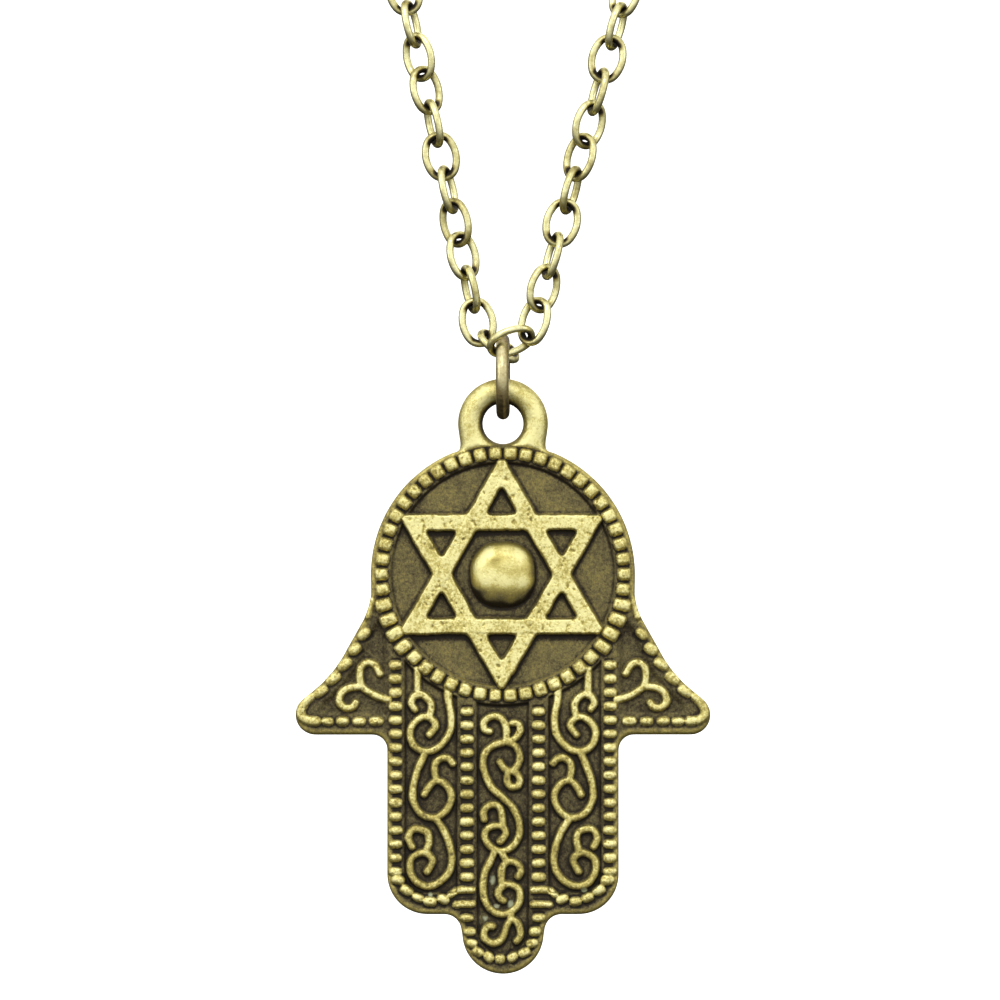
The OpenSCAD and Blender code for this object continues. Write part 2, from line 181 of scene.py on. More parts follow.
middle_scrolls = [
    [(-0.95, 22.4), (-1.3, 22.3), (-1.4, 21.85), (-1.1, 21.45), (-0.5, 21.3), (0, 21.6),
     (0.25, 22.2), (0.25, 23.1)],
    [(0.7, 21.8), (1.1, 21.85), (1.25, 22.3), (1, 22.8), (0.4, 23.25)],
    [(0.25, 23.2), (-0.5, 23.35), (-1.15, 23.8), (-1.45, 24.6), (-1.3, 25.5), (-0.8, 26.5),
     (0.05, 27.25), (0.75, 28), (1.2, 29.1), (1.15, 30.1), (0.6, 30.85), (-0.1, 31.1),
     (-0.85, 30.85), (-1.3, 30.2), (-1.2, 29.6), (-0.7, 29.3), (-0.05, 29.35), (0.2, 29.85),
     (-0.2, 30.4)],
    [(0.3, 23.2), (0.9, 23.5), (1.2, 24.1), (1.15, 24.7), (0.75, 25.25), (0.2, 25.2), (-0.2, 24.65)],
    [(0.4, 25.35), (0.3, 26), (0.6, 26.45), (1.1, 26.4)],
    [(1.1, 26.4), (1.25, 25.95), (1, 25.5), (0.55, 25.3)],
    [(-1.35, 28.8), (-1.4, 28.25), (-1, 27.8), (-0.4, 27.8), (-0.1, 28.3), (0, 29.35)],
    [(-0.55, 31), (-0.9, 31.8), (-1.3, 32.6), (-1.45, 33.7), (-1.3, 34.7), (-0.8, 35.4), (0, 35.7),
     (0.75, 35.4), (1.2, 34.8), (1.2, 34), (0.75, 33.6), (0.2, 33.55), (-0.3, 34), (-0.25, 34.5),
     (0.05, 34.7)],
    [(-0.05, 33.6), (-0.1, 32.6), (0.15, 32.05), (0.6, 31.85), (1.15, 32.15), (1.3, 32.6), (1.1, 32.95)],
    [(-0.15, 31.1), (0.3, 31.9)],
    [(0.6, 35.6), (0.5, 36.1), (0.25, 36.6), (0.1, 37.1), (-0.15, 37.55), (-0.7, 37.8),
     (-1.25, 37.55), (-1.4, 37.1), (-1.15, 36.6), (-0.75, 36.55)],
    [(0.55, 36.05), (1, 36.25), (1.25, 36.8), (1.25, 37.3), (1, 37.65)],
]

# The relief, on a fine grid
GRID = 0.05                      # millimetres from one place to the next
X0, Z0 = -15.8, -40.8
COLS, ROWS = 633, 893
GX, GZ = np.meshgrid(X0 + GRID * np.arange(COLS), Z0 + GRID * np.arange(ROWS))
rng = np.random.default_rng(7)


def ramp(v, low, high):
    """Smooth step of v from 0 at low to 1 at high."""
    t = np.clip((v - low) / (high - low), 0, 1)
    return t * t * (3 - 2 * t)


def window(x0, x1, z0, z1):
    """The part of the grid in a box, as its rows and columns."""
    return (slice(max(0, int((z0 - Z0) / GRID)), min(ROWS, int((z1 - Z0) / GRID) + 2)),
            slice(max(0, int((x0 - X0) / GRID)), min(COLS, int((x1 - X0) / GRID) + 2)))


def line_distance(points, reach, closed=False):
    """Distance from a line at each place of the grid, no more than reach."""
    out = np.full(GX.shape, float(reach))
    points = np.asarray(points, float)
    ends = np.roll(points, -1, axis=0) if closed else points[1:]
    for a, b in zip(points, ends):
        w = window(min(a[0], b[0]) - reach, max(a[0], b[0]) + reach,
                   min(a[1], b[1]) - reach, max(a[1], b[1]) + reach)
        px, pz, d = GX[w] - a[0], GZ[w] - a[1], b - a
        t = np.clip((px * d[0] + pz * d[1]) / max(d @ d, 1e-9), 0, 1)
        out[w] = np.minimum(out[w], np.hypot(px - t * d[0], pz - t * d[1]))
    return out


def signed(points, reach=1.2):
    """Distance from a closed line, positive inside it."""
    points = np.asarray(points, float)
    hit = np.zeros(GX.shape, bool)
    zs = GZ[:, 0]
    for a, b in zip(points, np.roll(points, -1, axis=0)):
        rows = np.nonzero((a[1] > zs) != (b[1] > zs))[0]
        if len(rows):
            cross = a[0] + (zs[rows] - a[1]) / (b[1] - a[1]) * (b[0] - a[0])
            hit[rows] ^= GX[rows] < cross[:, None]
    return np.where(hit, 1, -1) * line_distance(points, reach, True)


def blurred(field, sigma):
    """Gaussian blur by a Fourier transform, sigma in millimetres."""
    fz = np.fft.fftfreq(field.shape[0], GRID)[:, None]
    fx = np.fft.rfftfreq(field.shape[1], GRID)[None, :]
    keep = np.exp(-2 * (math.pi * sigma) ** 2 * (fx * fx + fz * fz))
    return np.fft.irfft2(np.fft.rfft2(field) * keep, s=field.shape)


def grain(sigma):
    """Smooth noise of standard deviation 1."""
    n = blurred(rng.standard_normal(GX.shape), sigma)
    return n / n.std()


def smooth_line(places, steps=6):
    """A smooth line through the places of a scroll, given as x and drop."""
    p = np.array([(x, -d) for x, d in places], float)
    out = []
    for i in range(len(p) - 1):
        a, b, c, d = p[max(i - 1, 0)], p[i], p[i + 1], p[min(i + 2, len(p) - 1)]
        for t in np.arange(steps) / steps:
            out.append(0.5 * (2 * b + (c - a) * t + (2 * a - 5 * b + 4 * c - d) * t ** 2
                              + (3 * b - a - 3 * c + d) * t ** 3))
    return out + [p[-1]]


relief = np.full(GX.shape, BORDER)

# Sunken floors, with walls that lean: panel and width of its wall
WALL, THUMB_WALL = 0.16, 0.45
panels = [(finger_panel, WALL), (mirrored(finger_panel), WALL),
          (thumb_panel, THUMB_WALL), (mirrored(thumb_panel), THUMB_WALL),
          (middle_panel, WALL), (arc(DISC, RECESS_R, 0, 355, 71), WALL)]
floor_mask = np.zeros(GX.shape)
for panel, wall in panels:
    floor_mask = np.maximum(floor_mask, ramp(signed(panel, 0.6), -0.02, wall))
relief -= (BORDER - FLOOR) * floor_mask
relief += 0.006 * grain(0.35) + 0.003 * grain(0.08)

# Scrolls: rounded strokes
STROKE_HALF, STROKE_RISE = 0.3, 0.38
strokes = [(line, flip) for line in finger_scrolls + thumb_scrolls for flip in (1, -1)]
strokes += [(line, 1) for line in middle_scrolls]
near = np.full(GX.shape, 0.5)
for line, flip in strokes:
    points = [(flip * p[0], p[1]) for p in smooth_line(line)]
    near = np.minimum(near, line_distance(points, 0.5))
near += 0.012 * grain(0.2)
stroke = STROKE_RISE * np.sqrt(np.clip(1 - (near / STROKE_HALF) ** 3, 0, 1))

# Star: two triangles of flat bars with sloped sides
STAR_C = (-0.08, -11.0)
STAR_MID, STAR_HALF, STAR_WALL = 3.78, 0.68, 0.2
STAR_RISE, LOWER_RISE = 0.6, 0.57
STAR_END, STAR_END_WALL = 8.5, 0.3
star = np.zeros(GX.shape)
star_x, star_z = GX - STAR_C[0], GZ - STAR_C[1]
star_noise = 0.02 * grain(0.25)
for turn, rise in ((90, STAR_RISE), (270, LOWER_RISE)):
    across = np.full(GX.shape, -99.0)
    for k in range(3):
        a = math.radians(turn + 60 + 120 * k)
        across = np.maximum(across, star_x * math.cos(a) + star_z * math.sin(a))
    bar = ramp(STAR_HALF - abs(across - STAR_MID) + star_noise, 0, STAR_WALL)
    star = np.maximum(star, rise * bar)

# The corners of the star's openings are rounded, as in a casting, and its points are not
ROUNDING = 0.17
star_reach = np.hypot(star_x, star_z)
rounded = ramp(blurred((star > STAR_RISE / 2).astype(float), ROUNDING), 0.28, 0.72)
star += (1 - ramp(star_reach, 6.6, 7.2)) * (rounded * np.maximum(star, LOWER_RISE) - star)
star *= ramp(STAR_END - star_reach, 0, STAR_END_WALL)

# Boss: a dome with a slightly square plan
BOSS_R, BOSS_RISE, BOSS_SQUARE = 2.4, 1.2, 2.3
boss_t = (abs(GX - DISC[0]) / BOSS_R) ** BOSS_SQUARE + (abs(GZ - DISC[1]) / BOSS_R) ** BOSS_SQUARE
boss = BOSS_RISE * np.clip(1 - boss_t ** 1.25, 0, 1) ** 0.62

raised = np.maximum(np.maximum(stroke, star), boss)
relief = np.maximum(relief, FLOOR + raised)

# Beads, each a little different from the next
ridge_noise = grain(0.3)
dome = np.zeros(GX.shape)
gap = np.zeros(GX.shape)


def bead(x, z, turn, long, wide, rise, square=2.2):
    """One bead at a place. A higher square makes its plan less round."""
    size = 1 + 0.03 * rng.standard_normal(2)
    turn = math.radians(turn + 1.5 * rng.standard_normal())
    rise *= 1 + 0.06 * rng.standard_normal()
    reach = (long + wide) * 0.75
    w = window(x - reach, x + reach, z - reach, z + reach)
    px, pz = GX[w] - x, GZ[w] - z
    u = abs(px * math.cos(turn) + pz * math.sin(turn)) / (long * size[0] / 2)
    v = abs(pz * math.cos(turn) - px * math.sin(turn)) / (wide * size[1] / 2)
    top = np.clip(1 - v ** square - u ** (square + 0.8), 0, 1) ** 0.6
    dome[w] = np.maximum(dome[w], rise * top)
    gap[w] = np.maximum(gap[w], ramp(1.5 - v, 0, 0.35) * ramp(0.95 - u, 0, 0.3))


MEDALLION_BEADS, MEDALLION_TURN, MEDALLION_BEAD_R = 50, 7.2, 8.81
MEDALLION_RISE, COLUMN_RISE, EDGE_RISE, RIDGE_RISE, TIP_RISE = 0.4, 0.32, 0.33, 0.3, 0.28
COLUMNS = ((7.8, 17.6, 16), (2.6, 20.98, 13))    # x, drop of the first bead, number of beads
NO_BEAD = -9.0
for i in range(MEDALLION_BEADS):
    a = math.radians(90 + (i + 0.5) * MEDALLION_TURN)
    longer = 0.3 if -0.6 < math.sin(a) < -0.2 else 0.0
    out = MEDALLION_BEAD_R + longer / 2
    bead(DISC[0] + out * math.cos(a), DISC[1] + out * math.sin(a), math.degrees(a),
         0.98 + longer, 0.97, MEDALLION_RISE, 3.6)
for flip in (1, -1):
    for x, top, count in COLUMNS:
        for i in range(count):
            bead(flip * x, -(top + i), 0, 1.0 + 0.006 * i, 0.76, COLUMN_RISE, 2.3)
    for x, drop, turn, long, wide in edge_beads:
        bead(flip * x, -drop, flip * turn, long, wide, EDGE_RISE)
    for line, half in ridges:
        d = line_distance([(flip * x, z) for x, z in smooth_line(line)], 0.5)
        d = abs(d + 0.01 * ridge_noise)
        dome = np.maximum(dome, RIDGE_RISE * np.sqrt(np.clip(1 - (d / half) ** 2.4, 0, 1)))
for x, drop, turn, long, wide in tip_beads:
    bead(x, -drop, turn, long, wide, TIP_RISE)

relief -= 0.05 * gap * (1 - np.clip(raised / 0.1, 0, 1))
bead_top = np.where(dome > 0.01, np.minimum(relief, BORDER) - 0.02 + dome, NO_BEAD)
plate = relief.copy()
relief = np.maximum(relief, bead_top)

# Cast pits on what stands proud
boss_area = ramp(boss, 0.02, 0.1)
high = ramp(relief, FLOOR + 0.15, FLOOR + 0.35) * (1 - 0.9 * boss_area)
pits = ramp(grain(0.08), 1.0, 2.2) * 0.04 + 0.004 * grain(0.06) + 0.006 * grain(0.3)
relief -= high * pits
plate -= high * pits
bead_top = np.where(bead_top > 0, bead_top - high * pits, NO_BEAD)

# What the polish leaves bright, and where the dark plating stays, most in hollows; painted shade on faces
# turned down
PLATE_TONE, FINGER_DARKER = 0.3, 0.11
STAR_TONE, BOSS_TONE, BEAD_TONE, STROKE_TONE, HIGH_STROKES = 0.92, 0.86, 0.86, 0.7, 0.18
SHADE_FACING_DOWN, LIGHT_FACING_UP, BESIDE_BEAD, PITTED = 0.22, 0.1, 0.13, 0.4
LOW_BOSS_SHADE, BOSS_FOOT = 0.42, 0.3
SHADE_ROWS = 12                  # how far below a high place its shade reaches, in rows of the grid
UPPER_STROKES_Z = (-24.0, -20.0)
hollow = blurred(relief, 0.14) - relief
wide_hollow = blurred(relief, 0.6) - relief
# Faces of the relief turned down and turned up, for painted shade and painted light
slope_down = np.gradient(blurred(relief, 0.05), GRID, axis=0)
turned_down, turned_up = ramp(slope_down, 0.15, 1.1), ramp(-slope_down, 0.15, 0.9)
# Painted shadow below what stands high, as if lit from above
shade_under = np.zeros(GX.shape)
for k in range(2, SHADE_ROWS):
    shade_under = np.maximum(shade_under, np.roll(relief, -k, axis=0) - relief - k * GRID)
shade_under = blurred(ramp(shade_under, 0.0, 0.15), 0.04)
proud = np.maximum(ramp(raised, 0.1, 0.3), ramp(dome, 0.05, 0.18))
stroke_tone = STROKE_TONE + HIGH_STROKES * ramp(GZ, *UPPER_STROKES_Z)
polish = np.where(star > 0.2, STAR_TONE,
                  np.where(boss > 0.02, BOSS_TONE, np.where(dome > 0.04, BEAD_TONE, stroke_tone)))
polish = blurred(polish, 0.05) + 0.03 * grain(0.5)
beside_bead = ramp(blurred(dome, 0.22), 0.03, 0.12) * (1 - proud)
in_fingers = np.where(abs(GX) < 8.3, ramp(-GZ, 19.5, 21.5), 0.9 * (GZ < -14))
plate_tone = PLATE_TONE - FINGER_DARKER * in_fingers
worn_light_and_shade_grid = plate_tone + (polish - plate_tone) * proud * (1 - 0.8 * ramp(hollow, 0.0, 0.07))
# Darker beside beads, and painted shade on proud faces turned down
worn_light_and_shade_grid -= BESIDE_BEAD * beside_bead + SHADE_FACING_DOWN * turned_down * proud
# Painted shade on the boss's low side, and darker round its foot
low_boss_shade = ramp(boss, 0.02, 0.3) * ramp(DISC[1] - GZ + 0.13 * grain(0.3), 0.2, 1.4)
worn_light_and_shade_grid -= LOW_BOSS_SHADE * low_boss_shade + BOSS_FOOT * ramp(boss, 0.02, 0.2) * (1 - ramp(boss, 0.3, 0.75))
worn_light_and_shade_grid *= 1 - PITTED * proud * ramp(pits, 0.014, 0.035) * (1 - 0.8 * boss_area)
# Painted light on faces turned up, off what stands proud
worn_light_and_shade_grid += LIGHT_FACING_UP * turned_up * (1 - proud)

# Patina in crevices beside walls and between beads, and painted shade under what stands proud and on walls
# turned down
patina_and_shade = 0.7 * ramp(hollow, 0.015, 0.06) * (0.6 + 0.4 * turned_down - 0.4 * turned_up)
patina_and_shade += 0.6 * np.maximum(turned_down, shade_under) * (1 - proud)
patina_and_shade = patina_and_shade * (1 - 0.6 * proud) + 0.16 * ramp(wide_hollow, 0.12, 0.28) * (1 - proud)
outer_side = ramp(abs(GX), 7.9, 8.1) * (GZ < -17)
patina_and_shade = np.clip(patina_and_shade + 0.36 * gap * (1 - ramp(dome, 0.0, 0.1)), 0, 1) * (1 - 0.7 * outer_side)
from_disc = np.hypot(GX - DISC[0], GZ - DISC[1])
patina_and_shade *= 1 - 0.65 * ramp(from_disc, 9.15, 9.32) * (abs(GX) > 3.3) * (GZ > -15)
EYE_LINE = 9.36                  # the dark line where the eye meets the medallion
patina_and_shade = np.maximum(patina_and_shade, 0.7 * (1 - ramp(abs(from_disc - EYE_LINE), 0.03, 0.1)) * (GZ > -2.7))

# The pendant's mesh
RIM, RIM_END = 0.28, 0.37        # radius of the rounded edge, and where the loops along it end
rim_depths = RIM * (1 - np.cos(np.radians([0, 18, 36, 54, 72, 90])))
rim_depths = np.append(rim_depths, RIM_END)
EYE_RING = (9.5, 9.95)           # from the disc's middle: where the plate gives way to the eye's rod


def sample(field, x, z):
    """Value of a grid field between its places."""
    u = np.clip((x - X0) / GRID, 0, COLS - 1.001)
    v = np.clip((z - Z0) / GRID, 0, ROWS - 1.001)
    i, j = v.astype(int), u.astype(int)
    s, t = u - j, v - i
    return ((field[i, j] * (1 - s) + field[i, j + 1] * s) * (1 - t)
            + (field[i + 1, j] * (1 - s) + field[i + 1, j + 1] * s) * t)


def rim_drop(rim):
    """How far the rounded edge lies below the face at a distance from the outline."""
    left = np.clip(RIM - rim, 0, RIM)
    return RIM - np.sqrt(RIM ** 2 - left ** 2)


def joined(a, b, k):
    """Smooth maximum."""
    return k * np.logaddexp(a / k, b / k)


def rod_half(rim):
    """Half the thickness of the eye's rod at a distance from its edge."""
    return np.sqrt(np.clip(ROD ** 2 - np.clip(ROD - rim, 0, ROD) ** 2, 0.05 ** 2, None))


def front_height(x, z, rim):
    """Height of the front face: the plate with its relief, and the eye's rod above the medallion."""
    rho, from_disc = np.hypot(x, z), np.hypot(x, z - DISC[1])
    rod = rod_half(rim)
    body = sample(plate, x, z) + np.where(rho < EYE_R, np.minimum(rod - BORDER, 0), 0)
    body = body - rim_drop(rim) * (rho > EYE_R)
    body = np.maximum(body, sample(bead_top, x, z) - 0.35 * rim_drop(rim))
    body = body - 1.6 * ramp(from_disc, *EYE_RING) * (z > -4)
    ring = rod - 1.2 * (1 - ramp(from_disc, 9.2, 9.5)) - 3.0 * (z < -4)
    return joined(body, ring, 0.02)


def back_height(x, z, rim):
    """Height of the back face, away from the viewer: nearly flat, with the eye's rod."""
    rho, from_disc = np.hypot(x, z), np.hypot(x, z - DISC[1])
    rod = rod_half(rim)
    body = BACK - rim_drop(rim) * (rho > EYE_R) + 0.004 * np.sin(1.7 * x + 2.1 * z)
    body = body + np.where(rho < EYE_R, np.minimum(rod - BACK, 0), 0)
    body = body - 1.6 * ramp(from_disc, *EYE_RING) * (z > -4)
    ring = rod * ramp(EYE_R + ROD - rho, -0.6, 0.5) - 0.8 * (1 - ramp(z, -3.6, -1.6))
    return joined(body, ring, 0.02)


def even_line(points, gap_mm, soften):
    """The closed line in even steps, its corners softened."""
    closed = np.vstack([points, points[:1]])
    lengths = np.concatenate([[0], np.cumsum(np.hypot(*np.diff(closed, axis=0).T))])
    n = int(round(lengths[-1] / gap_mm))
    at = np.arange(n) * lengths[-1] / n
    line = np.column_stack([np.interp(at, lengths, closed[:, k]) for k in (0, 1)])
    for _ in range(soften):
        line = 0.5 * line + 0.25 * (np.roll(line, 1, axis=0) + np.roll(line, -1, axis=0))
    return line


def inward(line):
    """Unit normals that point to the left of the line's direction."""
    d = np.roll(line, -1, axis=0) - np.roll(line, 1, axis=0)
    d /= np.hypot(*d.T)[:, None]
    return np.column_stack([-d[:, 1], d[:, 0]])


# The outline runs clockwise and the hole the other way, so the metal is on one side of both
EDGE_GAP, HOLE_GAP = 0.1, 0.08
outer = even_line(outline, EDGE_GAP, 2)
hole = even_line(np.array(arc((0, 0), HOLE_R, 0, 355, 71)), HOLE_GAP, 0)
loops = [(outer, -inward(outer)), (hole, -inward(hole))]
edge_field = signed(outline, 1.0)


def edge_distance(x, z):
    """Distance from the outline or the eye's hole, positive in the metal."""
    return np.minimum(sample(edge_field, x, z), np.hypot(x, z) - HOLE_R)


# A lattice of triangles: all its places where the relief is busy, and every second one on the floors
PITCH = 0.085
LOW_Z, HIGH_Z, HALF_WIDTH = -40.3, 3.4, 15.4
row_gap = PITCH * 0.866
q, r = np.meshgrid(np.arange(-600, 600), np.arange(int(LOW_Z / row_gap), int(HIGH_Z / row_gap)))
lx, lz = PITCH * (q + r / 2), PITCH * math.sqrt(0.75) * r
keep = abs(lx) < HALF_WIDTH
lx, lz, q, r = lx[keep], lz[keep], q[keep], r[keep]
from_edge = edge_distance(lx, lz)
steep = np.hypot(*np.gradient(blurred(np.maximum(relief, 0), 0.03), GRID))
busy = blurred((steep > 0.25).astype(float), 0.05)
fine = (sample(busy, lx, lz) > 0.12) | ((lz > -1.6) & (from_edge < 0.8))
coarse = (q % 2 == 0) & (r % 2 == 0)
keep = (from_edge > RIM_END + 0.05) & (fine | coarse)
front_xz, front_rims = np.column_stack([lx[keep], lz[keep]]), from_edge[keep]
by_sixes = (q % 6 == 0) & (r % 6 == 0) & (from_edge > RIM_END + 0.25)
round_eye = coarse & (from_edge > RIM_END + 0.08) & (lz > -5) & (np.hypot(lx, lz) < 4.2)
keep = by_sixes | round_eye
back_xz, back_rims = np.column_stack([lx[keep], lz[keep]]), from_edge[keep]

places, heights, sides, rims, faces = [], [], [], [], []


def add_places(xz, height, side, rim):
    """Adds vertices and returns the number of the first. Side is 1 on the front and -1 on the back."""
    first = sum(len(part) for part in places)
    places.append(xz)
    heights.append(height)
    sides.append(np.full(len(xz), float(side)))
    rims.append(rim)
    return first


def band(first, second, n, flip):
    """Quads between two loops of n vertices, the first one nearer to the edge or at the back."""
    i = np.arange(n)
    j = (i + 1) % n
    quad = np.column_stack([first + i, first + j, second + j, second + i])
    return quad if flip else quad[:, ::-1]


def face_sheet(side, height_of, depths, inside_xz, inside_rims):
    """One face of the pendant: the bands along its edges and a mesh of triangles between them."""
    def add(xz, rim):
        return add_places(xz, side * height_of(xz[:, 0], xz[:, 1], rim), side, rim)

    outermost, innermost = [], []
    for line, normal in loops:
        starts = [add(line + normal * d, np.full(len(line), d)) for d in depths]
        for a, b in zip(starts, starts[1:]):
            faces.append(band(a, b, len(line), side < 0))
        outermost.append(starts[0])
        innermost.append((starts[-1], line + normal * depths[-1]))
    first = add(inside_xz, inside_rims)
    parts = innermost + [(first, inside_xz)]
    numbers = np.concatenate([np.arange(start, start + len(xz)) for start, xz in parts])
    points = np.vstack([xz for _, xz in parts])
    edges, at = [], 0
    for _, xz in innermost:
        n = len(xz)
        edges += [(at + i, at + (i + 1) % n) for i in range(n)]
        at += n
    out = delaunay_2d_cdt([Vector(p) for p in points.tolist()], edges, [], 0, 1e-7)
    new_points = np.array([tuple(v) for v in out[0]])
    origin = np.array([o[0] if o else -1 for o in out[3]])
    tri = np.array(out[2])
    in_metal = edge_distance(*new_points[tri].mean(axis=1).T) > RIM_END - 0.03
    tri = tri[in_metal & (origin[tri] >= 0).all(axis=1)]
    a, b, c = (new_points[tri[:, k]] for k in range(3))
    turn = (b[:, 0] - a[:, 0]) * (c[:, 1] - a[:, 1]) - (b[:, 1] - a[:, 1]) * (c[:, 0] - a[:, 0])
    # Seen from the front, x runs to the right and z up, so a left turn faces the viewer
    wrong = (turn < 0) if side > 0 else (turn > 0)
    tri[wrong] = tri[wrong][:, ::-1]
    faces.append(numbers[origin[tri]])
    return outermost


front_edges = face_sheet(1, front_height, rim_depths, front_xz, front_rims)
back_edges = face_sheet(-1, back_height, rim_depths[[0, 1, 2, 3, 5, 6]], back_xz, back_rims)
for (line, _), a, b in zip(loops, front_edges, back_edges):
    faces.append(band(b, a, len(line), False))

places, heights = np.vstack(places), np.concatenate(heights)
sides, rims = np.concatenate(sides), np.concatenate(rims)

# Wear and patina, with painted light and shade, at each vertex. The front's come from the grid, and the
# back and the edge are worn evenly
EDGE_TONE, BACK_TONE, EYE_TONE = 0.53, 0.5, 0.62
front_side = sides > 0
px, pz = places.T
clouds = sample(grain(0.3), px, pz)
back_worn = BACK_TONE + 0.2 * (1 - ramp(rims, 0.1, 1.0)) + 0.05 * clouds
worn_light_and_shade = np.where(front_side, sample(worn_light_and_shade_grid, px, pz), back_worn)
dark = np.where(front_side, sample(patina_and_shade, px, pz), 0.0)
edge_part = (1 - ramp(rims, 0.1, 0.6)) * (1 - 0.85 * sample(proud, px, pz) * front_side)
worn_light_and_shade = worn_light_and_shade * (1 - edge_part) + EDGE_TONE * edge_part
dark = dark * (1 - 0.8 * edge_part)

# The eye is bright, with painted light that makes it brighter to the left, and painted shade in its hole,
# most of all at the top left
from_disc, rho = np.hypot(px, pz - DISC[1]), np.hypot(px, pz)
eye_part = ramp(from_disc, 9.3, 9.5) * (pz > -4)
eye_tone_and_light = EYE_TONE + 0.26 * ramp(rims, 0.0, 0.4) + 0.06 * clouds + 0.1 * ramp(-px, 0.5, 2.0)
worn_light_and_shade = worn_light_and_shade * (1 - eye_part) + eye_part * eye_tone_and_light
dark = dark * (1 - ramp(from_disc, 9.42, 9.55) * (pz > -4))
hole_shade = 1 - ramp(rho, HOLE_R + 0.1, EYE_R - 0.45)
hole_shade *= 0.35 + 0.65 * ramp((0.8 * pz - 0.6 * px) / rho, -0.7, 0.5)
worn_light_and_shade = worn_light_and_shade * (1 - 0.65 * hole_shade)
dark = np.maximum(dark, 0.32 * hole_shade)

# The boss is cloudy, and it and the eye have less of the fine mottling than the rest
on_boss = sample(boss_area, px, pz) * front_side
worn_light_and_shade += 0.13 * on_boss * clouds
calm = np.maximum(0.65 * on_boss, 0.4 * eye_part)

# Pale green specks in the hollows: x, drop, half width, half height
specks = [(-5.25, 34.26, 0.17, 0.2), (-0.74, 33.2, 0.18, 0.36), (0.57, 34.95, 0.24, 0.32),
          (-1.29, 35.97, 0.18, 0.18), (-0.45, 35.1, 0.22, 0.15), (5.9, 33.9, 0.25, 0.2)]
green = np.zeros(len(px))
for x, drop, half_x, half_z in specks:
    t = np.hypot((px - x) / half_x, (pz + drop) / half_z)
    green = np.maximum(green, 1 - ramp(t, 0.6, 1.1))
green *= front_side * (worn_light_and_shade < 0.6)


def object_from(name, verts_mm, faces, attributes, material):
    """A mesh object. Faces is a list of arrays of vertex numbers, each of three or four columns."""
    mesh = bpy.data.meshes.new(name)
    rows = [row for part in faces for row in np.asarray(part).tolist()]
    mesh.from_pydata((np.asarray(verts_mm) * MM).tolist(), [], rows)
    for key, values in attributes:
        mesh.attributes.new(key, "FLOAT", "POINT").data.foreach_set("value", np.asarray(values, np.float32))
    mesh.shade_smooth()
    mesh.update()
    obj = bpy.data.objects.new(name, mesh)
    bpy.context.scene.collection.objects.link(obj)
    mesh.materials.append(material)
    return obj


# Materials
def node_tree(name):
    """A new material and its empty node tree."""
    material = bpy.data.materials.new(name)
    material.use_nodes = True
    tree = material.node_tree
    tree.nodes.clear()
    return material, tree


class Nodes:
    """Short calls for building a node tree."""

    def __init__(self, tree):
        self.tree = tree

    def put(self, socket, value):
        if isinstance(value, bpy.types.NodeSocket):
            self.tree.links.new(value, socket)
        else:
            socket.default_value = value

    def new(self, kind, **inputs):
        node = self.tree.nodes.new(kind)
        for key, value in inputs.items():
            self.put(node.inputs[key.replace("_", " ")], value)
        return node

    def math(self, what, a, b, clamp=False):
        node = self.tree.nodes.new("ShaderNodeMath")
        node.operation, node.use_clamp = what, clamp
        self.put(node.inputs[0], a)
        self.put(node.inputs[1], b)
        return node.outputs[0]

    def attribute(self, name):
        node = self.tree.nodes.new("ShaderNodeAttribute")
        node.attribute_name = name
        return node.outputs["Fac"]

    def noise(self, where, scale, detail=2.0, roughness=0.5):
        return self.new("ShaderNodeTexNoise", Vector=where, Scale=scale, Detail=detail,
                        Roughness=roughness).outputs["Fac"]

    def ramp(self, value, stops):
        node = self.tree.nodes.new("ShaderNodeValToRGB")
        self.put(node.inputs[0], value)
        band = node.color_ramp
        while len(band.elements) < len(stops):
            band.elements.new(0.5)
        for element, (at, colour) in zip(band.elements, stops):
            element.position = at
            element.color = (*colour, 1)
        return node.outputs["Color"]

    def spread(self, value, low, high, to_low=0.0, to_high=1.0):
        node = self.new("ShaderNodeMapRange", Value=value)
        node.inputs["From Min"].default_value = low
        node.inputs["From Max"].default_value = high
        node.inputs["To Min"].default_value = to_low
        node.inputs["To Max"].default_value = to_high
        return node.outputs["Result"]

    def mix(self, factor, a, b):
        node = self.tree.nodes.new("ShaderNodeMix")
        node.data_type = "RGBA"
        self.put(node.inputs["Factor"], factor)
        self.put(node.inputs["A"], a)
        self.put(node.inputs["B"], b)
        return node.outputs["Result"]


DEEPEST_RGB, DEEP_RGB = (0.014, 0.009, 0.003), (0.045, 0.032, 0.012)


